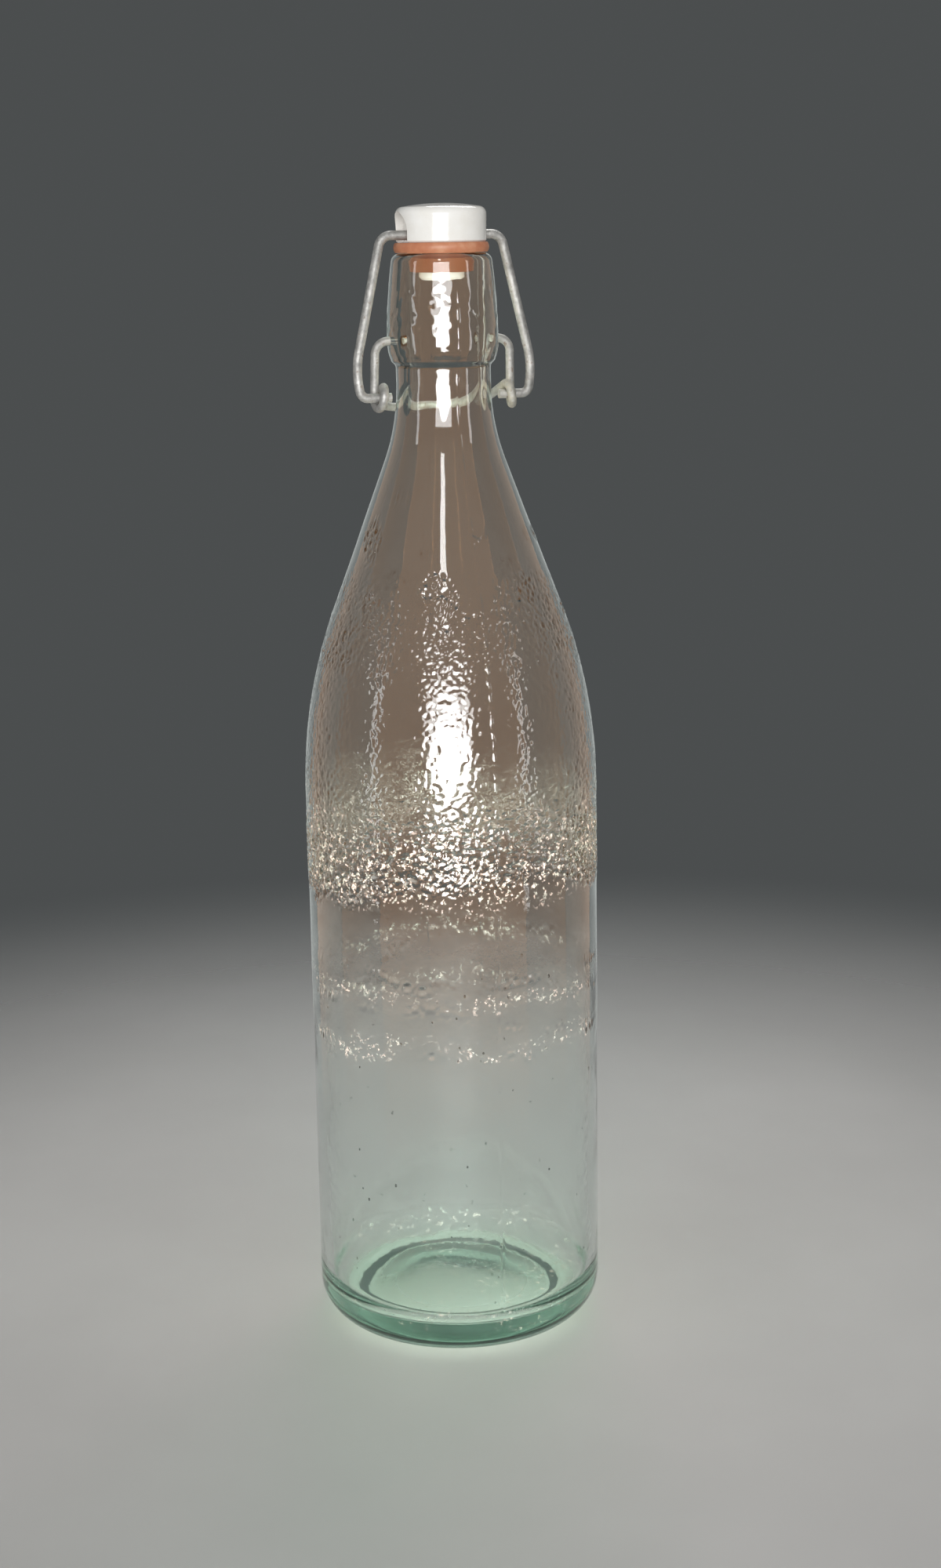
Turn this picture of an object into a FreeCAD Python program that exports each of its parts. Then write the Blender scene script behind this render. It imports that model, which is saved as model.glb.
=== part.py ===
import FreeCAD, Part
import math
import os

# Swing top bottle: a one litre glass bottle with a wire-sprung stopper.
#
# Frame: millimetres, +Z up, origin on the table at the middle of the base.
# The closure's pivots lie along X, and the lever's thumb loop is behind the neck, at +Y.
# Five pieces: the glass bottle, the stopper, its rubber gasket, the bail and the lever.

Vec = FreeCAD.Vector
X_AXIS = Vec(1, 0, 0)
Z_AXIS = Vec(0, 0, 1)

# Bottle, outside
BODY_R = 42.5               # half the body's diameter
HEEL_R = 11.0               # round between the body and the base
FOOT_IN_R = 26.0            # inner edge of the ring that the bottle stands on
PUSH_UP = 4.0               # height of the dome under the base
SHOULDER_Z = 163.0          # where the straight body ends
SHOULDER_R = 150.0          # radius of the shoulder's curve
SLOPE = math.radians(20.5)  # lean of the shoulder's straight stretch
FLARE_R = 60.0              # radius of the curve from the shoulder into the neck
NECK_R = 13.4
COLLAR_Z = 284.6            # underside of the collar
COLLAR_LOW_R = 14.8         # the collar just above its underside
COLLAR_R = 15.7             # the collar at its widest
COLLAR_STEP = 1.2           # height of the step from the neck out to the collar
COLLAR_WIDE_Z = 291.6       # height of the widest place, level with the sockets
LIP_Z = 315.4               # top of the glass
LIP_EDGE_R = 14.2           # the collar's radius where the lip's round begins
LIP_ROUND = 2.6             # round on the lip's outer edge

# Bottle, inside
WALL = 3.6                  # body wall
BASE_THICK = 8.5            # glass under the inside corner
INNER_CORNER_R = 8.0        # round between the inside wall and the floor
BORE_R = 10.2               # straight bore below the mouth
BORE_TOP_Z = 303.0          # top of the straight bore
MOUTH_R = 10.35             # the bore where the mouth's round begins
MOUTH_ROUND = 1.1           # round on the mouth's inner edge

# Wires and their pivots
BAIL_WIRE_R = 1.3
LEVER_WIRE_R = 1.2
PIVOT_GAP = 0.08            # running clearance round a pin
PIVOT_Z = 291.6             # lever pivots in the collar
SOCKET_END_X = 11.6         # bottom of each blind socket
EYE_Y = -1.5                # the eyes lie past dead centre when closed
EYE_Z = 276.0
EYE_GAP = 0.4               # clearance of the bail in the eyes

PIN_END_GAP = 0.3           # between a pin's end and its socket's floor
BAIL_TOP_X = 17.5           # the bail's upper corners
BAIL_TOP_ROUND = 3.7
BAIL_WIDE_X = 25.9          # the bail's sides, where they turn inward
BAIL_WIDE_Z = 284.0
BAIL_WIDE_ROUND = 25.0
BAIL_HOOK_X = 24.6          # the bail's lower corners
BAIL_HOOK_ROUND = 2.4
BAIL_END_X = 15.9           # cut ends of the hooks, inside the eyes
ARM_X = 19.8                # the lever's side arms, where they leave the pins
EYE_X = 21.2                # outer side of the eyes, to which the arms lean out
ARM_ROUND = 3.8
EYE_PITCH = 1.0             # sideways step of each quarter turn of the eye
LOOP_SLOPE = math.radians(18)
LOOP_X = 17.1               # half the width of the thumb loop
LOOP_Y = 21.5               # the loop's reach behind the neck
LOOP_ROUND = 13.0

# Stopper and gasket
SEAL_GAP = 0.15             # room that the snap past dead centre takes up
GASKET_R = 13.4
GASKET_THICK = 2.8
HEAD_R = 12.75
HEAD_HEIGHT = 10.6
HEAD_ROUND = 2.2            # round on the head's top edge
HEAD_CROWN = 0.9            # rise of the head's top
HOLE_ABOVE_HEAD = 2.0       # the wire's hole above the head's underside
NOTCH_R = 5.6               # arched recess at each end of the hole, open below
NOTCH_RISE = 2.9            # height of the arch's centre above the head's underside
NOTCH_FLAT_X = 9.5          # floor of the recess
STEM_R = 5.0
STEM_DEPTH = 10.8           # from the head's underside to the stem's foot
BUTTON_R = 6.4              # foot that keeps the gasket on
BUTTON_THICK = 2.3
PLUG_TOP_R = 9.6            # gasket's tapered plug, at the lip
PLUG_LOW_R = 9.0
FIT_GAP = 0.06              # between the gasket and the stem

GASKET_Z = LIP_Z + SEAL_GAP
HEAD_Z = GASKET_Z + GASKET_THICK
HOLE_Z = HEAD_Z + HOLE_ABOVE_HEAD
STEM_FOOT_Z = HEAD_Z - STEM_DEPTH
BUTTON_Z = STEM_FOOT_Z + BUTTON_THICK


def line(a, b):
    """Straight edge between two (radius, height) points."""
    return Part.LineSegment(Vec(a[0], 0, a[1]), Vec(b[0], 0, b[1])).toShape()


def arc(a, mid, b):
    """Arc through three (radius, height) points."""
    return Part.Arc(Vec(a[0], 0, a[1]), Vec(mid[0], 0, mid[1]), Vec(b[0], 0, b[1])).toShape()


def on_circle(centre, radius, degrees):
    """Point of a circle in the (radius, height) plane."""
    turn = math.radians(degrees)
    return (centre[0] + radius * math.cos(turn), centre[1] + radius * math.sin(turn))


def round_edge(centre, radius, start, end):
    """Arc about a centre, from one angle to another, in degrees."""
    return arc(
        on_circle(centre, radius, start),
        on_circle(centre, radius, (start + end) / 2),
        on_circle(centre, radius, end),
    )


def crown(edge_r, edge_z, rise):
    """Arc of a dome centred on the axis, from its edge up to its middle."""
    ball_r = (edge_r ** 2 + rise ** 2) / (2 * rise)
    centre = (0, edge_z + rise - ball_r)
    start = math.degrees(math.acos(edge_r / ball_r))
    return round_edge(centre, ball_r, start, 90)


def turned(edges):
    """Solid of revolution about Z from a closed outline."""
    outline = Part.Wire(Part.__sortEdges__(edges))
    return Part.Face(outline).revolve(Vec(0, 0, 0), Z_AXIS, 360)


def shoulder_curve(body_r, neck_r, shoulder_r, flare_r):
    """Shoulder from the body to the neck: arc, straight slope, arc. Returns edges and the top point."""
    low = (body_r, SHOULDER_Z)
    low_mid = on_circle((body_r - shoulder_r, SHOULDER_Z), shoulder_r, math.degrees(SLOPE) / 2)
    low_end = on_circle((body_r - shoulder_r, SHOULDER_Z), shoulder_r, math.degrees(SLOPE))
    top_start_r = neck_r + flare_r * (1 - math.cos(SLOPE))
    top_start = (top_start_r, low_end[1] + (low_end[0] - top_start_r) / math.tan(SLOPE))
    centre = (neck_r + flare_r, top_start[1] + flare_r * math.sin(SLOPE))
    top_mid = on_circle(centre, flare_r, 180 + math.degrees(SLOPE) / 2)
    top = (neck_r, centre[1])
    return [arc(low, low_mid, low_end), line(low_end, top_start), arc(top_start, top_mid, top)], top


def bottle_outside():
    """Outer outline from the middle of the base up to the lip."""
    foot_r = BODY_R - HEEL_R
    edges = [
        crown(FOOT_IN_R, 0, PUSH_UP),
        line((FOOT_IN_R, 0), (foot_r, 0)),
        round_edge((foot_r, HEEL_R), HEEL_R, -90, 0),
        line((BODY_R, HEEL_R), (BODY_R, SHOULDER_Z)),
    ]
    shoulder, neck = shoulder_curve(BODY_R, NECK_R, SHOULDER_R, FLARE_R)
    step_mid = ((NECK_R + COLLAR_LOW_R) / 2, COLLAR_Z + COLLAR_STEP / 2)
    half = COLLAR_STEP / 2
    step_top = (COLLAR_LOW_R, COLLAR_Z + COLLAR_STEP + half)
    wide_low = (COLLAR_R, COLLAR_WIDE_Z - LEVER_WIRE_R)
    wide_top = (COLLAR_R, COLLAR_WIDE_Z + LEVER_WIRE_R)
    swell_mid = (COLLAR_LOW_R + 0.62, (step_top[1] + wide_low[1]) / 2)
    lip_z = LIP_Z - LIP_ROUND
    collar_mid = (COLLAR_R - (COLLAR_R - LIP_EDGE_R) * 0.28, (COLLAR_WIDE_Z + lip_z) / 2)
    edges += shoulder
    edges += [
        line(neck, (NECK_R, COLLAR_Z - half)),
        arc((NECK_R, COLLAR_Z - half), (NECK_R + 0.22, COLLAR_Z + 0.1), step_mid),
        arc(step_mid, (COLLAR_LOW_R - 0.22, COLLAR_Z + COLLAR_STEP - 0.1), step_top),
        arc(step_top, swell_mid, wide_low),
        line(wide_low, wide_top),
        arc(wide_top, collar_mid, (LIP_EDGE_R, lip_z)),
        round_edge((LIP_EDGE_R - LIP_ROUND, lip_z), LIP_ROUND, 0, 90),
    ]
    return edges, (LIP_EDGE_R - LIP_ROUND, LIP_Z)


def bottle_inside(lip):
    """Inner outline from the lip down to the middle of the floor."""
    mouth_z = LIP_Z - MOUTH_ROUND
    mouth_centre = (MOUTH_R + MOUTH_ROUND, mouth_z)
    inner_r = BODY_R - WALL
    shoulder, neck = shoulder_curve(inner_r, BORE_R, SHOULDER_R - WALL, FLARE_R + WALL)
    print(f"straight bore from {neck[1]:.2f} to {BORE_TOP_Z:.2f} mm")
    floor_r = inner_r - INNER_CORNER_R
    floor_z = BASE_THICK
    rise = PUSH_UP * 0.8
    return [
        line(lip, (MOUTH_R + MOUTH_ROUND, LIP_Z)),
        round_edge(mouth_centre, MOUTH_ROUND, 90, 180),
        line((MOUTH_R, mouth_z), (BORE_R, BORE_TOP_Z)),
        line((BORE_R, BORE_TOP_Z), neck),
        *shoulder,
        line((inner_r, SHOULDER_Z), (inner_r, floor_z + INNER_CORNER_R)),
        round_edge((floor_r, floor_z + INNER_CORNER_R), INNER_CORNER_R, 0, -90),
        crown(floor_r, floor_z, rise),
        line((0, floor_z + rise), (0, PUSH_UP)),
    ]


def make_bottle():
    """Glass bottle with a blind socket in each side of the collar."""
    outside, lip = bottle_outside()
    inside = bottle_inside(lip)
    glass = turned(outside + inside)
    socket_r = LEVER_WIRE_R + PIVOT_GAP
    for side in (1, -1):
        start = Vec(side * SOCKET_END_X, 0, PIVOT_Z)
        glass = glass.cut(Part.makeCylinder(socket_r, COLLAR_R, start, X_AXIS * side))
    return glass


def make_stopper():
    """Stopper head with its stem and foot, the wire's hole and an arched recess at each end of it."""
    top = HEAD_Z + HEAD_HEIGHT - HEAD_CROWN
    edge_centre = (HEAD_R - HEAD_ROUND, top - HEAD_ROUND)
    edges = [
        line((0, STEM_FOOT_Z), (BUTTON_R - 0.6, STEM_FOOT_Z)),
        line((BUTTON_R - 0.6, STEM_FOOT_Z), (BUTTON_R, STEM_FOOT_Z + 0.6)),
        line((BUTTON_R, STEM_FOOT_Z + 0.6), (BUTTON_R, BUTTON_Z)),
        line((BUTTON_R, BUTTON_Z), (STEM_R, BUTTON_Z)),
        line((STEM_R, BUTTON_Z), (STEM_R, HEAD_Z)),
        line((STEM_R, HEAD_Z), (HEAD_R - 0.4, HEAD_Z)),
        line((HEAD_R - 0.4, HEAD_Z), (HEAD_R, HEAD_Z + 0.4)),
        line((HEAD_R, HEAD_Z + 0.4), (HEAD_R, top - HEAD_ROUND)),
        round_edge(edge_centre, HEAD_ROUND, 0, 90),
        crown(HEAD_R - HEAD_ROUND, top, HEAD_CROWN),
        line((0, top + HEAD_CROWN), (0, STEM_FOOT_Z)),
    ]
    stopper = turned(edges)
    hole_r = BAIL_WIRE_R + PIVOT_GAP
    stopper = stopper.cut(Part.makeCylinder(hole_r, 2 * HEAD_R, Vec(-HEAD_R, 0, HOLE_Z), X_AXIS))
    for side in (1, -1):
        start = Vec(side * NOTCH_FLAT_X, 0, HEAD_Z + NOTCH_RISE)
        arch = Part.makeCylinder(NOTCH_R, HEAD_R, start, X_AXIS * side)
        low_x = min(side * NOTCH_FLAT_X, side * (NOTCH_FLAT_X + HEAD_R))
        corner = Vec(low_x, -NOTCH_R, HEAD_Z - 1)
        legs = Part.makeBox(HEAD_R, 2 * NOTCH_R, NOTCH_RISE + 1, corner)
        stopper = stopper.cut(arch.fuse(legs))
    return stopper


def make_gasket():
    """Rubber washer with a tapered plug, stretched over the stem between the head and the foot."""
    hole_r = STEM_R + FIT_GAP
    top = HEAD_Z - FIT_GAP
    low = BUTTON_Z + FIT_GAP
    bulge = GASKET_R - 0.5
    edges = [
        line((hole_r, low), (PLUG_LOW_R, low)),
        line((PLUG_LOW_R, low), (PLUG_TOP_R, GASKET_Z)),
        line((PLUG_TOP_R, GASKET_Z), (bulge, GASKET_Z)),
        arc((bulge, GASKET_Z), (GASKET_R, (GASKET_Z + top) / 2), (bulge, top)),
        line((bulge, top), (hole_r, top)),
        line((hole_r, top), (hole_r, low)),
    ]
    return turned(edges)


def bent_wire(points, radii, wire_r):
    """Round wire along straight runs joined by tangent arcs: one radius for each inner point."""
    edges = []
    start = points[0]
    length = 0
    for before, corner, after, radius in zip(points, points[1:], points[2:], radii):
        into = (corner - before).normalize()
        out = (after - corner).normalize()
        turn = into.getAngle(out)
        reach = radius * math.tan(turn / 2)
        first = corner - into * reach
        last = corner + out * reach
        inward = (out - into).normalize()
        middle = corner + inward * (radius / math.cos(turn / 2) - radius)
        if (first - start).Length > 1e-4:
            edges.append(Part.LineSegment(start, first).toShape())
        edges.append(Part.Arc(first, middle, last).toShape())
        start = last
    edges.append(Part.LineSegment(start, points[-1]).toShape())
    path = Part.Wire(edges)
    circle = Part.Circle(points[0], (points[1] - points[0]).normalize(), wire_r)
    solid = path.makePipeShell([Part.Wire(circle.toShape())], True, False)
    expected = math.pi * wire_r ** 2 * path.Length
    print(f"wire length {path.Length:.1f} mm, volume {solid.Volume / expected:.4f} of section times length")
    return solid


def mirrored(points):
    """The points of the -X half of a symmetric wire, in reverse, so that they lead up to the +X half."""
    return [Vec(-p.x, p.y, p.z) for p in reversed(points)]


def make_bail():
    """Upper wire: through the stopper, down both sides, and hooked inward through the lever's eyes."""
    wide_y = EYE_Y * (HOLE_Z - BAIL_WIDE_Z) / (HOLE_Z - EYE_Z)
    half = [
        Vec(BAIL_TOP_X, 0, HOLE_Z),
        Vec(BAIL_WIDE_X, wide_y, BAIL_WIDE_Z),
        Vec(BAIL_HOOK_X, EYE_Y, EYE_Z),
        Vec(BAIL_END_X, EYE_Y, EYE_Z),
    ]
    radii = [BAIL_TOP_ROUND, BAIL_WIDE_ROUND, BAIL_HOOK_ROUND]
    return bent_wire(mirrored(half) + half, radii[::-1] + radii, BAIL_WIRE_R)


def make_lever():
    """Lower wire: pivot pins, side arms, an eye of one turn on each arm, and the thumb loop behind the neck."""
    eye_r = BAIL_WIRE_R + EYE_GAP + LEVER_WIRE_R
    far_y = EYE_Y + eye_r
    near_y = EYE_Y - eye_r
    eye_top_z = EYE_Z + eye_r * math.tan((math.pi / 2 + LOOP_SLOPE) / 2)
    loop_z = eye_top_z - (LOOP_Y - near_y) * math.tan(LOOP_SLOPE)
    half = [
        Vec(LOOP_X, LOOP_Y, loop_z),
        Vec(EYE_X - 3 * EYE_PITCH, near_y, eye_top_z),
        Vec(EYE_X - 2 * EYE_PITCH, near_y, EYE_Z - eye_r),
        Vec(EYE_X - EYE_PITCH, far_y, EYE_Z - eye_r),
        Vec(ARM_X, 0, PIVOT_Z),
        Vec(SOCKET_END_X + PIN_END_GAP, 0, PIVOT_Z),
    ]
    eye_round = eye_r * 0.97
    radii = [LOOP_ROUND, eye_round, eye_round, eye_round, ARM_ROUND]
    return bent_wire(mirrored(half) + half, radii[::-1] + radii, LEVER_WIRE_R)


def main():
    os.makedirs("parts", exist_ok=True)
    pieces = {
        "glass_bottle": make_bottle(),
        "stopper": make_stopper(),
        "gasket": make_gasket(),
        "bail": make_bail(),
        "lever": make_lever(),
    }
    for name, solid in pieces.items():
        print(f"{name}: valid {solid.isValid()}, solids {len(solid.Solids)}, {solid.Volume / 1000:.2f} cm3")
        solid.exportStep(f"parts/{name}.step")


main()
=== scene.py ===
import math
import random

import bmesh
import bpy
import numpy as np
from mathutils import Matrix, Vector, noise


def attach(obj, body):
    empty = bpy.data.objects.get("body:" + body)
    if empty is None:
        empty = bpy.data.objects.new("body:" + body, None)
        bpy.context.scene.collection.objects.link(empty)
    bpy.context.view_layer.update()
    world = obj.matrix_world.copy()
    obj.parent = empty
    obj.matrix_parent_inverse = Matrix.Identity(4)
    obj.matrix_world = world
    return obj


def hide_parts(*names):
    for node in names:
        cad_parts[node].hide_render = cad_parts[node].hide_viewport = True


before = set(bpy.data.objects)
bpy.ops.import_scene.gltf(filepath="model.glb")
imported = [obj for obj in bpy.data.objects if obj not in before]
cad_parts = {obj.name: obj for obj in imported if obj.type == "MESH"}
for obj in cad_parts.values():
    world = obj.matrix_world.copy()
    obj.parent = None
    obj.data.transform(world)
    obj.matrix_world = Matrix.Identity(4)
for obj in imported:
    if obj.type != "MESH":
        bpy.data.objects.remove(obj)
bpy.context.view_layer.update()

# Camera, angles in radians and lengths in metres, lens in millimetres
CAMERA_AZIMUTH = math.radians(-17.0)
CAMERA_DISTANCE = 0.680
CAMERA_HEIGHT = 0.320
CAMERA_PITCH = math.radians(13.0)
CAMERA_YAW = math.radians(0.48)
CAMERA_ROLL = math.radians(0.95)
CAMERA_LENS = 54.55
SENSOR_TALL = 36

# Floor in metres
FLOOR_R = 0.52
FLOOR_PALE_R = 0.14
FLOOR_SIDES = 128

# Light: ambient strength, backdrop colour, and the ring of walls that the glass mirrors
AMBIENT = 0.32
BACKDROP = (0.071, 0.076, 0.077)
LIGHT_AIM_Z = 0.18
WALLS_EACH_SIDE = 4
WALL_SPACING = 40
WALL_AZIMUTH = -17
WALL_FRONT_POWER = 132
WALL_BACK_POWER = 30
WALL_WARM = (1, 0.47, 0.17)
WALL_PALE = (0.94, 1, 0.97)

# Bottle outline in millimetres, as in the solids
BODY_R = 42.5
HEEL_R = 11.0
FOOT_IN_R = 26.0
PUSH_UP = 4.0
SHOULDER_Z = 163.0
SHOULDER_R = 150.0
SLOPE = math.radians(20.5)
FLARE_R = 60.0
NECK_R = 13.4
COLLAR_Z = 284.6
COLLAR_LOW_R = 14.8
COLLAR_R = 15.7
COLLAR_STEP = 1.2
COLLAR_WIDE_Z = 291.6
LIP_Z = 315.4
LIP_EDGE_R = 14.2
LIP_ROUND = 2.6
WALL = 3.6
BASE_THICK = 8.5
INNER_CORNER_R = 8.0
BORE_R = 10.2
BORE_TOP_Z = 303.0
MOUTH_R = 10.35
MOUTH_ROUND = 1.1
SOCKET_R = 1.28
SOCKET_END_X = 11.6

# Spacing of the bottle's mesh: columns round it, and rows in millimetres
COLUMNS = 560
SEAM_COLUMN_GAP = 0.0055
BAND_ROWS = 0.48
COLLAR_ROWS = 0.4
MIDDLE_ROWS = 0.8
COARSE_ROWS = 1.6
INNER_ROWS = 2.4
INNER_FINE_ROWS = 0.9
SOCKET_SIDES = 32

# Bottle surface in millimetres
STIPPLE_DEPTH = 0.40
WAVE_DEPTH = 0.12
FINE_WAVE_DEPTH = 0.025
NECK_WAVE_DEPTH = 0.06
COLLAR_DENT_DEPTH = 0.17
INNER_WAVE_DEPTH = 0.30
SEAM_HEIGHT = 0.13
SEAM_HALF_WIDTH = 0.4
SEAM_TURNS = (0.5 * math.pi, -0.5 * math.pi)
GRAIN_SIZE = 1.25

# Stippled bands in millimetres: where each starts, is full, starts to fade and ends
DENSE_BAND = (136, 141, 155, 166)
LIGHT_BAND = (148, 158, 172, 180)
SOFT_BAND = (160, 170, 222, 232)
UPPER_BAND = (197, 205, 211, 220)
LIGHT_SHARE = 0.42
SOFT_SHARE = 0.24
UPPER_SHARE = 0.28

# Rows of scuffs in millimetres: height of each row, and its place in the noise
SCUFF_ROWS = ((114, 1.0), (104, 4.0), (93, 7.0))
SCUFF_HALF_WIDTH = 0.8
SCUFF_SHARE = 0.7

# Rows of pale nicks in metres, and the middle of the crust on the lever's right eye
NICK_LEVELS = (0.012, 0.094, 0.109)
CRUST_AT = (0.0195, -0.0015, 0.276)

# Trapped bubbles in millimetres
BUBBLES = 130
BUBBLE_SEED = 11
BUBBLE_RINGS = 5
BUBBLE_SIDES = 8


def arc_points(centre, radius, start, end, count=24):
    """Points of an arc in the (radius, height) plane, angles in degrees."""
    turns = np.radians(np.linspace(start, end, count))
    return [(centre[0] + radius * math.cos(t), centre[1] + radius * math.sin(t)) for t in turns]


def dome_points(edge_r, edge_z, rise, count=24):
    """Points of a dome centred on the axis, from its edge to its middle."""
    ball_r = (edge_r ** 2 + rise ** 2) / (2 * rise)
    start = math.degrees(math.acos(edge_r / ball_r))
    return arc_points((0, edge_z + rise - ball_r), ball_r, start, 90, count)


def three_point_arc(a, mid, b, count=16):
    """Points of the arc through three points."""
    ax, ay = a
    bx, by = mid
    cx, cy = b
    d = 2 * (ax * (by - cy) + bx * (cy - ay) + cx * (ay - by))
    aa = ax * ax + ay * ay
    bb = bx * bx + by * by
    cc = cx * cx + cy * cy
    ux = (aa * (by - cy) + bb * (cy - ay) + cc * (ay - by)) / d
    uy = (aa * (cx - bx) + bb * (ax - cx) + cc * (bx - ax)) / d
    radius = math.hypot(ax - ux, ay - uy)
    turns = [math.degrees(math.atan2(y - uy, x - ux)) for x, y in (a, mid, b)]
    for k in (1, 2):
        turns[k] = turns[k - 1] + (turns[k] - turns[k - 1] + 180) % 360 - 180
    return arc_points((ux, uy), radius, turns[0], turns[2], count)


def shoulder_points(body_r, neck_r, shoulder_r, flare_r):
    """Shoulder from the body to the neck: arc, straight slope, arc."""
    lean = math.degrees(SLOPE)
    low = arc_points((body_r - shoulder_r, SHOULDER_Z), shoulder_r, 0, lean, 40)
    top_r = neck_r + flare_r * (1 - math.cos(SLOPE))
    top_z = low[-1][1] + (low[-1][0] - top_r) / math.tan(SLOPE)
    centre = (neck_r + flare_r, top_z + flare_r * math.sin(SLOPE))
    return low + arc_points(centre, flare_r, 180 + lean, 180, 30)


def outer_outline():
    """Outside of the bottle, from the middle of the base to the lip."""
    foot_r = BODY_R - HEEL_R
    half = COLLAR_STEP / 2
    step_mid = ((NECK_R + COLLAR_LOW_R) / 2, COLLAR_Z + half)
    step_top = (COLLAR_LOW_R, COLLAR_Z + COLLAR_STEP + half)
    wide_low = (COLLAR_R, COLLAR_WIDE_Z - 1.2)
    swell_mid = (COLLAR_LOW_R + 0.62, (step_top[1] + wide_low[1]) / 2)
    lip_z = LIP_Z - LIP_ROUND
    wide = (COLLAR_R, COLLAR_WIDE_Z + 1.2)
    collar_mid = (COLLAR_R - (COLLAR_R - LIP_EDGE_R) * 0.28, (COLLAR_WIDE_Z + lip_z) / 2)
    points = dome_points(FOOT_IN_R, 0, PUSH_UP)[::-1]
    points += [(FOOT_IN_R, 0)]
    points += arc_points((foot_r, HEEL_R), HEEL_R, -90, 0)
    points += shoulder_points(BODY_R, NECK_R, SHOULDER_R, FLARE_R)
    points += three_point_arc((NECK_R, COLLAR_Z - half), (NECK_R + 0.22, COLLAR_Z + 0.1), step_mid)
    points += three_point_arc(step_mid, (COLLAR_LOW_R - 0.22, COLLAR_Z + COLLAR_STEP - 0.1), step_top)
    points += three_point_arc(step_top, swell_mid, wide_low)
    points += three_point_arc(wide, collar_mid, (LIP_EDGE_R, lip_z))
    points += arc_points((LIP_EDGE_R - LIP_ROUND, lip_z), LIP_ROUND, 0, 90)
    return points


def inner_outline():
    """Inside of the bottle, from the lip to the middle of the floor."""
    mouth = arc_points((MOUTH_R + MOUTH_ROUND, LIP_Z - MOUTH_ROUND), MOUTH_ROUND, 90, 180)
    inner_r = BODY_R - WALL
    corner = (inner_r - INNER_CORNER_R, BASE_THICK + INNER_CORNER_R)
    points = mouth + [(BORE_R, BORE_TOP_Z)]
    points += shoulder_points(inner_r, BORE_R, SHOULDER_R - WALL, FLARE_R + WALL)[::-1]
    points += arc_points(corner, INNER_CORNER_R, 0, -90)
    points += dome_points(inner_r - INNER_CORNER_R, BASE_THICK, PUSH_UP * 0.8)
    return points


def resample(points, step):
    """The outline again, with points spaced by step(height)."""
    path = np.array(points)
    keep = np.r_[True, np.hypot(*np.diff(path, axis=0).T) > 1e-6]
    path = path[keep]
    along = np.r_[0, np.cumsum(np.hypot(*np.diff(path, axis=0).T))]
    marks = [0.0]
    while marks[-1] < along[-1]:
        height = np.interp(marks[-1], along, path[:, 1])
        marks.append(marks[-1] + step(height))
    marks = np.array(marks) * along[-1] / marks[-1]
    return np.c_[np.interp(marks, along, path[:, 0]), np.interp(marks, along, path[:, 1])]


def outline_normals(path):
    """Unit normals to the left of the outline's direction."""
    along = np.gradient(path, axis=0)
    along /= np.linalg.norm(along, axis=1)[:, None]
    return np.c_[along[:, 1], -along[:, 0]]


def smooth_step(low, high, value):
    """0 below low, 1 above high, smooth between."""
    t = min(1.0, max(0.0, (value - low) / (high - low)))
    return t * t * (3 - 2 * t)


def ring_noise(turn, scale, shift):
    """Smooth noise round the bottle."""
    return noise.noise(Vector((math.cos(turn) * scale, math.sin(turn) * scale, shift)))


def band_amount(z, band, low_shift=0.0, high_shift=0.0):
    """1 inside a band of heights, fading to 0 at its two edges."""
    low, low_full, high_full, high = band
    rise = smooth_step(low + low_shift, low_full + low_shift, z)
    return rise * (1 - smooth_step(high_full + high_shift, high + high_shift, z))


def stipple_amount(z, turn):
    """How strongly the glass is stippled: a dense band with ragged edges and fainter ones above it."""
    ragged = 4.0 * math.cos(2 * turn + math.pi)
    ragged += 2.5 * ring_noise(turn, 1.6, 3.0)
    ragged += 2.5 * ring_noise(turn, 6.0, 9.0)
    dense = band_amount(z, DENSE_BAND, ragged, ragged)
    light = LIGHT_SHARE * band_amount(z, LIGHT_BAND)
    upper = UPPER_SHARE * band_amount(z, UPPER_BAND, 0.0, ragged)
    soft = SOFT_SHARE * band_amount(z, SOFT_BAND)
    return max(dense, light, soft) + upper


def scuff_amount(z, turn):
    """Wavy chains of small nicks round the lower body."""
    amount = 0.0
    for height, shift in SCUFF_ROWS:
        line = height + 11.0 * ring_noise(turn, 1.1, shift) + 1.2 * ring_noise(turn, 5.0, shift)
        gaps = smooth_step(-0.02, 0.30, ring_noise(turn, 3.0, shift + 20))
        amount += gaps * math.exp(-((z - line) / SCUFF_HALF_WIDTH) ** 2)
    return amount


def grains(p):
    """Pebbled texture of small long grains, from about -1 to 1."""
    shifts = ((0, 0, 0), (7, 3, 1), (2, 8, 5))
    bend = Vector([noise.noise(p / 3.0 + Vector(shift)) for shift in shifts])
    return 1 - 2.6 * abs(noise.noise((p + bend * 0.9) / GRAIN_SIZE))


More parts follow.
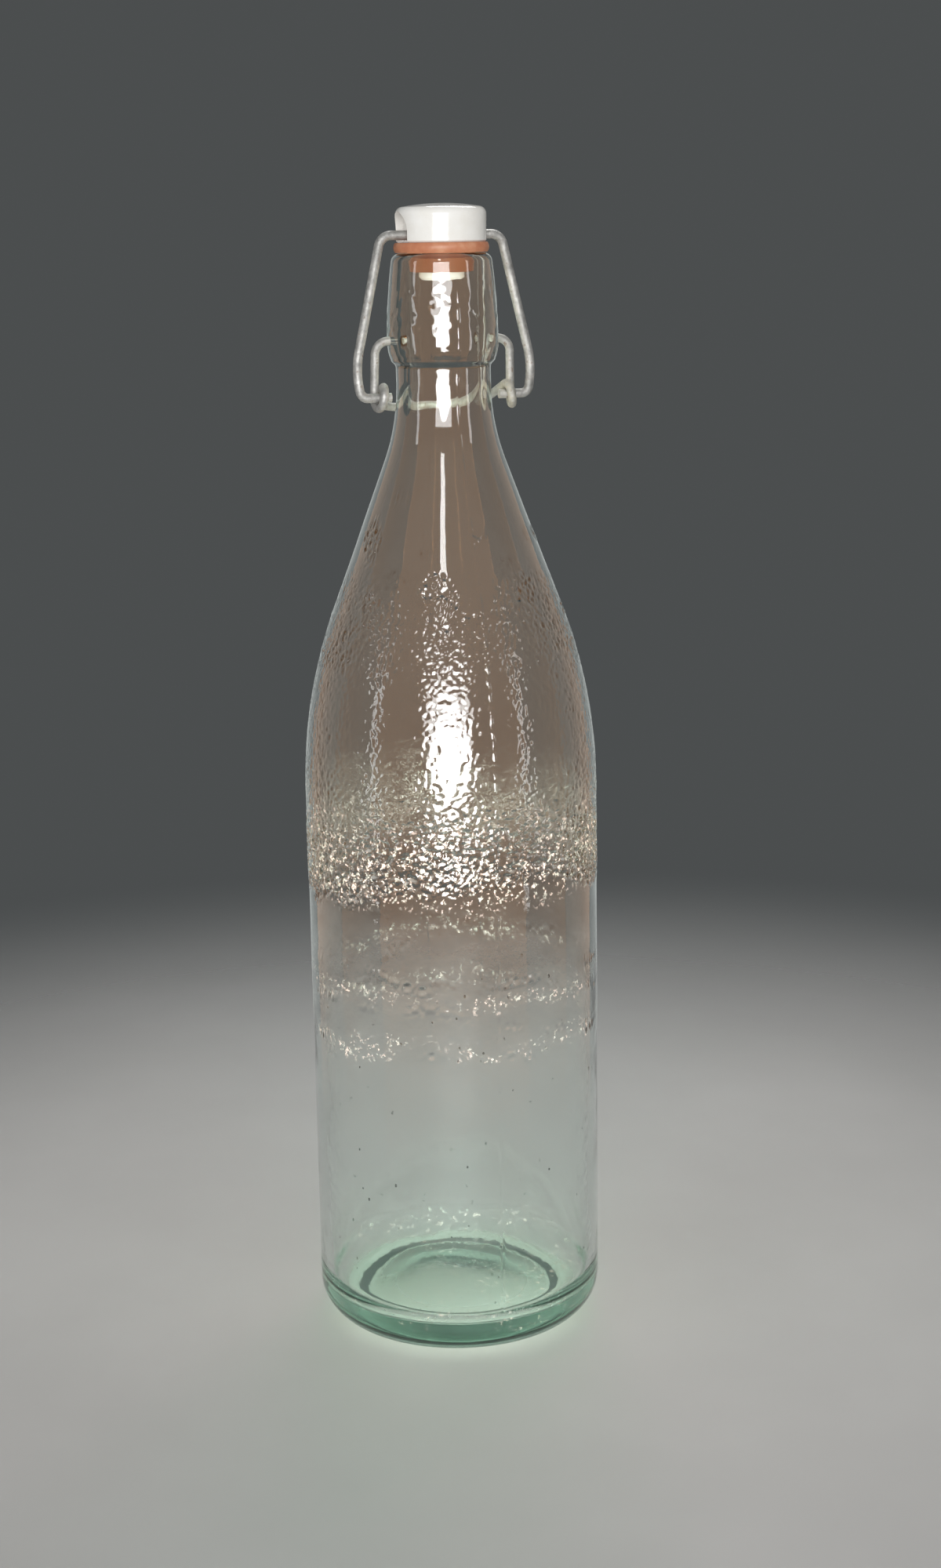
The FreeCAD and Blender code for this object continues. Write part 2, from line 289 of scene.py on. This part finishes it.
def outer_relief(p, turn, radius):
    """Height of the outer surface above the plain outline, in millimetres."""
    height = WAVE_DEPTH * noise.noise(p / 26.0)
    height += FINE_WAVE_DEPTH * noise.noise(p / 7.0)
    if p.z > 262:
        height += NECK_WAVE_DEPTH * smooth_step(262, 280, p.z) * noise.noise(p / 4.2)
        patch = smooth_step(-0.40, 0.20, noise.noise(p / 6.0 + Vector((1, 9, 4))))
        height += COLLAR_DENT_DEPTH * smooth_step(283, 288, p.z) * patch * noise.noise(p / 1.9)
    amount = stipple_amount(p.z, turn)
    if 78 < p.z < 128:
        amount += SCUFF_SHARE * scuff_amount(p.z, turn)
    if 214 < p.z < 250:
        amount += SCUFF_SHARE * smooth_step(0.30, 0.45, noise.noise(p / 11.0 + Vector((3, 3, 3))))
    if amount > 0.01:
        height += STIPPLE_DEPTH * amount * (grains(p) - 0.3)
    for seam in SEAM_TURNS:
        off = radius * (turn - seam) + 0.15 * noise.noise(Vector((0, seam, p.z / 9.0)))
        uneven = 0.7 + 0.6 * noise.noise(Vector((seam, 1, p.z / 2.5)))
        height += SEAM_HEIGHT * uneven * math.exp(-(off / SEAM_HALF_WIDTH) ** 2)
    return height


def inner_relief(p):
    """Depth of the uneven inner surface, in millimetres."""
    return INNER_WAVE_DEPTH * (noise.noise(p / 30.0) + 0.45 * noise.noise(p / 13.0 + Vector((5, 1, 2))))


def column_turns():
    """Angles of the mesh's columns, closer together on the two mould seams."""
    turns = list(np.linspace(-math.pi, math.pi, COLUMNS, endpoint=False))
    for seam in SEAM_TURNS:
        turns += [seam + k * SEAM_COLUMN_GAP for k in (-2.5, -1.5, -0.5, 0.5, 1.5, 2.5)]
    return np.array(sorted(turns))


def outer_step(z):
    """Row spacing of the outside: fine in the stippled bands and on the collar."""
    if 122 < z < 240:
        return BAND_ROWS
    if z > 279:
        return COLLAR_ROWS
    if z > 262 or 80 < z < 122:
        return MIDDLE_ROWS
    return COARSE_ROWS


def inner_step(z):
    """Row spacing of the inside: finer at its two ends."""
    return INNER_ROWS if 20 < z < 270 else INNER_FINE_ROWS


def relief_share(z, is_outer):
    """How much of the relief is left: none at the foot and the lip, and none in the bore."""
    share = smooth_step(4, 14, z)
    share *= 1 - 0.2 * smooth_step(272, 284, z)
    share *= 1 - smooth_step(303, 312, z)
    if not is_outer:
        share *= 1 - smooth_step(262, 278, z)
    return share


def bottle_mesh():
    """Closed glass surface: the outside, the lip and the inside, with their relief."""
    outer = resample(outer_outline(), outer_step)
    inner = resample(inner_outline(), inner_step)
    path = np.vstack([outer, inner[1:]])
    normal = outline_normals(path)
    is_outer = np.arange(len(path)) < len(outer)
    turns = column_turns()
    count = len(turns)
    rows = path[1:-1]
    verts = []
    for k in range(1, len(path) - 1):
        r, z = path[k]
        fade = relief_share(z, is_outer[k])
        for turn in turns:
            p = Vector((r * math.cos(turn), r * math.sin(turn), z))
            lift = 0.0
            if fade > 0:
                lift = fade * (outer_relief(p, turn, r) if is_outer[k] else inner_relief(p))
            radius = r + normal[k][0] * lift
            verts.append((radius * math.cos(turn), radius * math.sin(turn), z + normal[k][1] * lift))
    verts = np.array(verts)
    low = len(verts)
    verts = np.vstack([verts, [[0, 0, path[0][1]], [0, 0, path[-1][1]]]]) / 1000
    faces = []
    for k in range(len(rows) - 1):
        a = k * count
        b = a + count
        for j in range(count):
            n = (j + 1) % count
            faces.append((a + j, a + n, b + n, b + j))
    last = (len(rows) - 1) * count
    for j in range(count):
        n = (j + 1) % count
        faces.append((low, n, j))
        faces.append((low + 1, last + j, last + n))
    mesh = bpy.data.meshes.new("glass_surface")
    mesh.from_pydata(verts.tolist(), [], faces)
    mesh.validate()
    mesh.polygons.foreach_set("use_smooth", [True] * len(mesh.polygons))
    return mesh


def socket_cutter(side):
    """Round cutter for one blind socket in the collar."""
    count = SOCKET_SIDES
    verts = []
    for x in (SOCKET_END_X, COLLAR_R + 4):
        for k in range(count):
            turn = 2 * math.pi * k / count
            y = SOCKET_R * math.cos(turn)
            z = COLLAR_WIDE_Z + SOCKET_R * math.sin(turn)
            verts.append((side * x / 1000, y / 1000, z / 1000))
    faces = [tuple(range(count))[::-1], tuple(range(count, 2 * count))]
    for k in range(count):
        n = (k + 1) % count
        faces.append((k, n, count + n, count + k))
    if side < 0:
        faces = [f[::-1] for f in faces]
    mesh = bpy.data.meshes.new("socket_cut")
    mesh.from_pydata(verts, [], faces)
    cutter = bpy.data.objects.new("socket_cut", mesh)
    bpy.context.scene.collection.objects.link(cutter)
    return cutter


def make_bottle():
    """Glass bottle with its two sockets cut."""
    bottle = bpy.data.objects.new("glass", bottle_mesh())
    bpy.context.scene.collection.objects.link(bottle)
    cutters = [socket_cutter(1), socket_cutter(-1)]
    for cutter in cutters:
        cut = bottle.modifiers.new("socket", "BOOLEAN")
        cut.object = cutter
        cut.operation = "DIFFERENCE"
        cut.solver = "EXACT"
    graph = bpy.context.evaluated_depsgraph_get()
    mesh = bpy.data.meshes.new_from_object(bottle.evaluated_get(graph))
    bottle.modifiers.clear()
    bottle.data = mesh
    add_bubbles(mesh)
    for cutter in cutters:
        bpy.data.objects.remove(cutter)
    return bottle


def add_bubbles(mesh):
    """Small trapped bubbles in the wall, as closed hollows in the same glass."""
    rng = random.Random(BUBBLE_SEED)
    verts = []
    faces = []
    rings = BUBBLE_RINGS
    around = BUBBLE_SIDES
    for _ in range(BUBBLES):
        turn = rng.uniform(-math.pi, math.pi)
        middle = Vector((0, 0, rng.uniform(14, 122)))
        middle += rng.uniform(40.3, 41.3) * Vector((math.cos(turn), math.sin(turn), 0))
        size = rng.uniform(0.10, 0.32)
        tall = size * rng.uniform(1.0, 2.0)
        base = len(verts)
        verts.append(middle + Vector((0, 0, tall)))
        for i in range(1, rings):
            lat = math.pi * i / rings
            for j in range(around):
                lon = 2 * math.pi * j / around
                step = Vector((math.cos(lon), math.sin(lon), 0)) * size * math.sin(lat)
                verts.append(middle + step + Vector((0, 0, tall * math.cos(lat))))
        verts.append(middle - Vector((0, 0, tall)))
        last = len(verts) - 1
        for j in range(around):
            n = (j + 1) % around
            faces.append((base, base + 1 + n, base + 1 + j))
            faces.append((last, last - around + j, last - around + n))
            for i in range(rings - 2):
                a = base + 1 + i * around
                faces.append((a + j, a + n, a + around + n, a + around + j))
    bubbles = bpy.data.meshes.new("bubbles")
    bubbles.from_pydata([tuple(v / 1000) for v in verts], [], faces)
    joined = bmesh.new()
    joined.from_mesh(mesh)
    joined.from_mesh(bubbles)
    joined.to_mesh(mesh)
    joined.free()
    mesh.polygons.foreach_set("use_smooth", [True] * len(mesh.polygons))
    bpy.data.meshes.remove(bubbles)


class Nodes:
    """Short way to build a node material."""

    def __init__(self, name):
        self.material = bpy.data.materials.new(name)
        self.material.use_nodes = True
        self.tree = self.material.node_tree
        self.shader = self.tree.nodes["Principled BSDF"]
        self.output = self.tree.nodes["Material Output"]

    def add(self, kind, **settings):
        """New node with its input values or settings."""
        node = self.tree.nodes.new(kind)
        for key, value in settings.items():
            if key in node.inputs:
                node.inputs[key].default_value = value
            else:
                setattr(node, key, value)
        return node

    def link(self, source, target):
        self.tree.links.new(source, target)

    def place(self):
        """Position in the object's own frame, in metres."""
        return self.add("ShaderNodeTexCoord").outputs["Object"]

    def noise(self, scale, detail=4, rough=0.55):
        """Cloudy noise, from 0 to 1."""
        node = self.add("ShaderNodeTexNoise", Scale=scale, Detail=detail, Roughness=rough)
        self.link(self.place(), node.inputs["Vector"])
        return node.outputs["Fac"]

    def ramp(self, source, stops):
        """Colour from a value, through a list of positions and colours."""
        node = self.add("ShaderNodeValToRGB")
        elements = node.color_ramp.elements
        while len(elements) < len(stops):
            elements.new(0.5)
        for element, (position, colour) in zip(elements, stops):
            element.position = position
            element.color = (*colour, 1)
        self.link(source, node.inputs["Fac"])
        return node.outputs["Color"]

    def span(self, source, low, high, out_low, out_high):
        """A value's range from low to high, moved to another range."""
        node = self.add("ShaderNodeMapRange")
        limits = {"From Min": low, "From Max": high, "To Min": out_low, "To Max": out_high}
        for key, value in limits.items():
            node.inputs[key].default_value = value
        self.link(source, node.inputs["Value"])
        return node.outputs["Result"]

    def mix(self, factor, a, b):
        """Colour a where the factor is 0, colour b where it is 1."""
        node = self.add("ShaderNodeMix", data_type="RGBA")
        self.link(factor, node.inputs[0])
        for source, socket in ((a, node.inputs[6]), (b, node.inputs[7])):
            if isinstance(source, tuple):
                socket.default_value = (*source, 1)
            else:
                self.link(source, socket)
        return node.outputs[2]

    def bump(self, source, strength, distance, under=None):
        """Normal bent by a height, over another bent normal if there is one."""
        node = self.add("ShaderNodeBump", Strength=strength, Distance=distance)
        self.link(source, node.inputs["Height"])
        if under is not None:
            self.link(under, node.inputs["Normal"])
        return node.outputs["Normal"]

    def blend_values(self, operation, a, b):
        """One arithmetic step on two values, the second a number or a socket."""
        node = self.add("ShaderNodeMath", operation=operation)
        self.link(a, node.inputs[0])
        if isinstance(b, float):
            node.inputs[1].default_value = b
        else:
            self.link(b, node.inputs[1])
        return node.outputs[0]

    def band(self, source, low, low_full, high_full, high):
        """1 between low_full and high_full, fading to 0 at low and high."""
        rise = self.span(source, low, low_full, 0, 1)
        fall = self.span(source, high_full, high, 1, 0)
        return self.blend_values("MULTIPLY", rise, fall)

    def set(self, **values):
        """Constant values on the shader's own sockets."""
        for key, value in values.items():
            self.shader.inputs[key.replace("_", " ")].default_value = value

    def let_through(self, factor, colour):
        """Clear of that colour where the factor is 1, the shader where it is 0."""
        clear = self.add("ShaderNodeBsdfTransparent")
        clear.inputs["Color"].default_value = (*colour, 1)
        both = self.add("ShaderNodeMixShader")
        self.link(factor, both.inputs[0])
        self.link(self.shader.outputs[0], both.inputs[1])
        self.link(clear.outputs[0], both.inputs[2])
        self.link(both.outputs[0], self.output.inputs["Surface"])


def glass_material():
    """Clear soda-lime glass, green in its thickness, with haze in patches, worn white flecks, and white
    deposit with painted sparkle in the dense band.
    """
    m = Nodes("clear_glass")
    m.set(IOR=1.52)
    place = m.add("ShaderNodeSeparateXYZ")
    m.link(m.place(), place.inputs[0])
    height = m.blend_values("ADD", place.outputs["Z"], m.span(m.noise(45, 3), 0.3, 0.7, -0.004, 0.004))
    dense = m.band(height, 0.135, 0.141, 0.150, 0.168)
    specks = m.span(m.noise(520, 4, 0.7), 0.71, 0.80, 0, 0.6)
    rare = m.blend_values("MULTIPLY", specks, m.band(height, 0.02, 0.06, 0.13, 0.24))
    patches = m.span(m.noise(38, 2), 0.43, 0.55, 0.2, 1)
    nicks = m.blend_values("MULTIPLY", m.span(m.noise(640, 4, 0.7), 0.575, 0.665, 0, 0.8), patches)
    for level in NICK_LEVELS:
        row = m.band(height, level - 0.003, level - 0.001, level + 0.001, level + 0.003)
        rare = m.blend_values("MAXIMUM", rare, m.blend_values("MULTIPLY", nicks, row))
    # Pale flecks in the dense band: white deposit in the pits, partly painted sparkle
    deposit_and_sparkle = m.blend_values("MULTIPLY", m.span(m.noise(760, 3, 0.55), 0.59, 0.66, 0, 1), dense)
    wear_deposit_and_sparkle = m.blend_values("MAXIMUM", deposit_and_sparkle, rare)
    m.link(m.span(wear_deposit_and_sparkle, 0, 1, 1.0, 0.55), m.shader.inputs["Transmission Weight"])
    m.link(m.mix(wear_deposit_and_sparkle, (1, 1, 1), (0.84, 0.83, 0.78)), m.shader.inputs["Base Color"])
    haze = m.span(m.noise(55, 6, 0.65), 0.50, 0.75, 0.010, 0.055)
    worn = m.span(place.outputs["Z"], 0.0, 0.0045, 0.45, 0.0)
    ground = m.blend_values("MULTIPLY", wear_deposit_and_sparkle, 0.3)
    rough = m.blend_values("MAXIMUM", haze, m.blend_values("MAXIMUM", worn, ground))
    m.link(rough, m.shader.inputs["Roughness"])
    low = m.bump(m.noise(130, 2), 0.05, 0.001)
    m.link(m.bump(m.noise(900, 3), 0.02, 0.0004, low), m.shader.inputs["Normal"])
    tint = m.add("ShaderNodeVolumeAbsorption")
    tint.inputs["Color"].default_value = (0.10, 0.58, 0.40, 1)
    tint.inputs["Density"].default_value = 17.0
    m.link(tint.outputs["Volume"], m.output.inputs["Volume"])
    path = m.add("ShaderNodeLightPath")
    m.let_through(path.outputs["Is Shadow Ray"], (0.90, 0.95, 0.93))
    return m.material


def porcelain_material():
    """Glossy white glaze, a little warm, with fine pits and a trace of grime."""
    m = Nodes("white_porcelain")
    cloud = m.noise(140, 5)
    speck = m.noise(1500, 2)
    body = m.ramp(cloud, [(0.35, (0.85, 0.83, 0.78)), (0.65, (0.91, 0.90, 0.87))])
    grime = m.span(speck, 0.70, 0.78, 0.0, 0.35)
    m.link(m.mix(grime, body, (0.42, 0.36, 0.28)), m.shader.inputs["Base Color"])
    m.link(m.span(cloud, 0.3, 0.7, 0.10, 0.22), m.shader.inputs["Roughness"])
    m.link(m.bump(m.noise(420, 3), 0.08, 0.0006), m.shader.inputs["Normal"])
    m.set(IOR=1.5, Coat_Weight=0.4, Coat_Roughness=0.06)
    return m.material


def rubber_material():
    """Orange-red rubber, slightly bleached and dusty in patches, with painted shade darkening the plug inside
    the neck.
    """
    m = Nodes("red_rubber")
    cloud = m.noise(190, 5)
    body = m.ramp(cloud, [(0.3, (0.46, 0.15, 0.075)), (0.55, (0.58, 0.24, 0.13)), (0.75, (0.68, 0.36, 0.22))])
    height = m.add("ShaderNodeSeparateXYZ")
    m.link(m.place(), height.inputs[0])
    # Painted shade: the plug below the lip, inside the neck, is darkened
    painted_neck_shade = m.span(height.outputs["Z"], 0.3155, 0.3140, 0.0, 0.85)
    body = m.mix(painted_neck_shade, body, (0.105, 0.026, 0.013))
    m.link(body, m.shader.inputs["Base Color"])
    m.link(m.span(cloud, 0.3, 0.7, 0.30, 0.48), m.shader.inputs["Roughness"])
    m.link(m.bump(m.noise(1300, 3), 0.15, 0.0004), m.shader.inputs["Normal"])
    m.set(IOR=1.5)
    return m.material


def wire_material(name, shade, crust_at=None):
    """Dull galvanised wire: matt grey zinc, brown oxide spots and, if asked, a pale crust at one place."""
    m = Nodes(name)
    cloud = m.noise(260, 6, 0.65)
    spot = m.noise(620, 4, 0.6)
    tones = [(0.30, 0.26), (0.50, 0.44), (0.70, 0.58)]
    tint = (shade, shade * 0.985, shade * 0.94)
    zinc = m.ramp(cloud, [(at, tuple(tone * part for part in tint)) for at, tone in tones])
    rust = m.span(spot, 0.60, 0.70, 0.0, 0.7)
    colour = m.mix(rust, zinc, (0.19, 0.12, 0.07))
    relief = spot
    if crust_at is not None:
        away = m.add("ShaderNodeVectorMath", operation="DISTANCE")
        m.link(m.place(), away.inputs[0])
        away.inputs[1].default_value = crust_at
        near = m.span(away.outputs["Value"], 0.0030, 0.0060, 1, 0)
        crust = m.blend_values("MULTIPLY", m.span(m.noise(900, 5, 0.7), 0.40, 0.55, 0.15, 1), near)
        colour = m.mix(crust, colour, (0.56, 0.53, 0.44))
        relief = m.blend_values("ADD", spot, crust)
    m.link(colour, m.shader.inputs["Base Color"])
    m.link(m.span(cloud, 0.3, 0.7, 0.62, 0.42), m.shader.inputs["Roughness"])
    m.link(m.span(spot, 0.45, 0.70, 0.62, 0.15), m.shader.inputs["Metallic"])
    fine = m.bump(m.noise(2400, 3), 0.25, 0.0003)
    m.link(m.bump(relief, 0.40, 0.0006, fine), m.shader.inputs["Normal"])
    return m.material


def floor_material():
    """Pale, even table top that fades into the backdrop away from the bottle."""
    m = Nodes("pale_floor")
    tones = [(0.3, (0.47, 0.465, 0.455)), (0.7, (0.53, 0.525, 0.515))]
    m.link(m.ramp(m.noise(6, 4), tones), m.shader.inputs["Base Color"])
    m.set(Roughness=0.55)
    away = m.add("ShaderNodeVectorMath", operation="LENGTH")
    m.link(m.place(), away.inputs[0])
    fade = m.add("ShaderNodeMapRange", interpolation_type="SMOOTHSTEP")
    fade.inputs["From Min"].default_value = FLOOR_PALE_R
    fade.inputs["From Max"].default_value = FLOOR_R
    m.link(away.outputs["Value"], fade.inputs["Value"])
    m.let_through(fade.outputs["Result"], (1, 1, 1))
    return m.material


def make_floor():
    """Round pale floor under the bottle."""
    count = FLOOR_SIDES
    turns = [2 * math.pi * k / count for k in range(count)]
    verts = [(FLOOR_R * math.cos(t), FLOOR_R * math.sin(t), 0) for t in turns]
    mesh = bpy.data.meshes.new("floor")
    mesh.from_pydata(verts, [], [tuple(range(count))])
    floor = bpy.data.objects.new("floor", mesh)
    bpy.context.scene.collection.objects.link(floor)
    mesh.materials.append(floor_material())


def make_world():
    """Soft even light from all round, seen as a plain grey backdrop."""
    world = bpy.data.worlds.new("studio")
    bpy.context.scene.world = world
    world.use_nodes = True
    tree = world.node_tree
    tree.nodes.clear()
    add = tree.nodes.new
    path = add("ShaderNodeLightPath")
    seen = add("ShaderNodeMath")
    seen.operation = "MAXIMUM"
    tree.links.new(path.outputs["Is Camera Ray"], seen.inputs[0])
    tree.links.new(path.outputs["Is Glossy Ray"], seen.inputs[1])
    seen_all = add("ShaderNodeMath")
    seen_all.operation = "MAXIMUM"
    tree.links.new(seen.outputs[0], seen_all.inputs[0])
    tree.links.new(path.outputs["Is Transmission Ray"], seen_all.inputs[1])
    light = add("ShaderNodeBackground")
    light.inputs["Color"].default_value = (1, 0.99, 0.97, 1)
    light.inputs["Strength"].default_value = AMBIENT
    backdrop = add("ShaderNodeBackground")
    backdrop.inputs["Color"].default_value = (*BACKDROP, 1)
    backdrop.inputs["Strength"].default_value = 1.0
    mix = add("ShaderNodeMixShader")
    tree.links.new(seen_all.outputs[0], mix.inputs[0])
    tree.links.new(light.outputs[0], mix.inputs[1])
    tree.links.new(backdrop.outputs[0], mix.inputs[2])
    output = add("ShaderNodeOutputWorld")
    tree.links.new(mix.outputs[0], output.inputs["Surface"])


def add_softbox(name, azimuth, distance, height, size, power, colour=(1, 1, 1), shape="RECTANGLE"):
    """Soft light at an azimuth round the bottle, facing it; the size is its width and its length."""
    data = bpy.data.lights.new(name, "AREA")
    data.shape = shape
    data.size, data.size_y = size
    data.energy = power
    data.color = colour
    lamp = bpy.data.objects.new(name, data)
    bpy.context.scene.collection.objects.link(lamp)
    turn = math.radians(azimuth)
    lamp.location = (distance * math.sin(turn), -distance * math.cos(turn), height)
    aim = Vector((0, 0, LIGHT_AIM_Z)) - lamp.location
    lamp.rotation_euler = aim.to_track_quat("-Z", "Y").to_euler()
    lamp.visible_camera = False
    lamp.visible_transmission = False
    return lamp


def add_walls():
    """Ring of wall panels round the bottle, warm and bright in front, pale and dim behind."""
    walls = []
    for k in range(-WALLS_EACH_SIDE, WALLS_EACH_SIDE + 1):
        back = abs(k) / WALLS_EACH_SIDE
        colour = [warm + (pale - warm) * back ** 3 for warm, pale in zip(WALL_WARM, WALL_PALE)]
        power = WALL_FRONT_POWER - (WALL_FRONT_POWER - WALL_BACK_POWER) * back
        power *= 1.10 if k % 2 else 0.92
        azimuth = WALL_AZIMUTH + WALL_SPACING * k
        name = f"wall_{k + WALLS_EACH_SIDE}"
        walls.append(add_softbox(name, azimuth, 3.0, 0.30, (2.2, 7.0), power, colour))
    return walls


def make_lights(glass):
    """Window-like light behind the viewer, soft light above, and panes and walls for the glass alone."""
    add_softbox("window", -18, 2.6, 0.55, (1.7, 0.95), 56)
    add_softbox("above", 150, 1.2, 1.7, (1.0, 0.8), 14)
    mirrors = bpy.data.collections.new("glass_mirrors")
    mirrors.objects.link(glass)
    panes = [add_softbox("pane", -18, 2.6, 0.18, (1.45, 1.35), 112, shape="ELLIPSE")]
    panes.append(add_softbox("high_pane", -22, 2.2, 2.0, (0.30, 0.9), 14))
    for name, azimuth in (("side_pane_left", -80), ("side_pane_right", 43)):
        panes.append(add_softbox(name, azimuth, 2.4, 0.30, (0.22, 1.7), 7))
    for pane in panes + add_walls():
        pane.light_linking.receiver_collection = mirrors


def make_camera():
    """Camera at the photograph's place."""
    data = bpy.data.cameras.new("camera")
    data.sensor_fit = "VERTICAL"
    data.sensor_height = SENSOR_TALL
    data.lens = CAMERA_LENS
    data.clip_start = 0.01
    camera = bpy.data.objects.new("camera", data)
    bpy.context.scene.collection.objects.link(camera)
    x = CAMERA_DISTANCE * math.sin(CAMERA_AZIMUTH)
    y = -CAMERA_DISTANCE * math.cos(CAMERA_AZIMUTH)
    place = Vector((x, y, CAMERA_HEIGHT))
    heading = -CAMERA_AZIMUTH + CAMERA_YAW
    level = math.cos(CAMERA_PITCH)
    ahead = Vector((math.sin(heading) * level, math.cos(heading) * level, -math.sin(CAMERA_PITCH)))
    right = ahead.cross(Vector((0, 0, 1))).normalized()
    up = right.cross(ahead)
    roll = Matrix.Rotation(CAMERA_ROLL, 3, ahead)
    right = roll @ right
    up = roll @ up
    turn = Matrix((right, up, -ahead)).transposed()
    camera.matrix_world = Matrix.Translation(place) @ turn.to_4x4()
    bpy.context.scene.camera = camera


def dress_node(node, material):
    """Gives a solid of the frame its finished material."""
    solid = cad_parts[node]
    solid.data.materials.clear()
    solid.data.materials.append(material)


def main():
    bpy.context.scene.view_settings.view_transform = "Standard"
    bottle = make_bottle()
    bottle.data.materials.clear()
    bottle.data.materials.append(glass_material())
    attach(bottle, "bottle")
    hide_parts("glass_bottle")
    dress_node("stopper", porcelain_material())
    dress_node("gasket", rubber_material())
    dress_node("bail", wire_material("bail_steel", 1.05))
    dress_node("lever", wire_material("lever_steel", 1.0, CRUST_AT))
    make_floor()
    make_world()
    make_lights(bottle)
    make_camera()


main()
